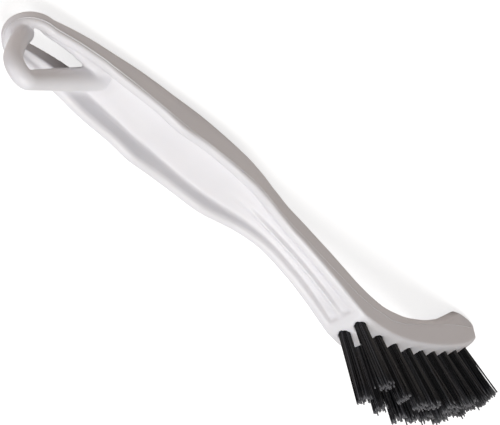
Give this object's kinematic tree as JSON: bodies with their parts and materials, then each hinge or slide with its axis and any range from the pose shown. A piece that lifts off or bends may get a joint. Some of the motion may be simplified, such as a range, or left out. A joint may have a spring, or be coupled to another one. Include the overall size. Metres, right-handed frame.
{
  "type": "grout brush",
  "caption": "Narrow hand brush with a one-piece plastic handle, a hanging ring and hook bar, a bent neck and a curled head with two rows of stiff black nylon tufts.",
  "frame": {"origin": "middle of the bottom of the bounding box, the brush lying on its back", "axes": "+X from the hanging end to the toe, +Y to the brush's right side, +Z the way the bristles point"},
  "size_m": [0.2203, 0.0182, 0.0504],
  "materials": {
    "white_plastic": "satin",
    "black_nylon": "satin",
    "anchor_wire": "satin"
  },
  "bodies": {
    "root": {"handle": "white_plastic", "anchor_staples": "anchor_wire", "left_tuft_1": "black_nylon", "left_tuft_2": "black_nylon", "left_tuft_3": "black_nylon", "left_tuft_4": "black_nylon", "left_tuft_5": "black_nylon", "left_tuft_6": "black_nylon", "left_tuft_7": "black_nylon", "left_tuft_8": "black_nylon", "left_tuft_9": "black_nylon", "right_tuft_1": "black_nylon", "right_tuft_2": "black_nylon", "right_tuft_3": "black_nylon", "right_tuft_4": "black_nylon", "right_tuft_5": "black_nylon", "right_tuft_6": "black_nylon", "right_tuft_7": "black_nylon", "right_tuft_8": "black_nylon", "right_tuft_9": "black_nylon"}
  },
  "joints": []
}
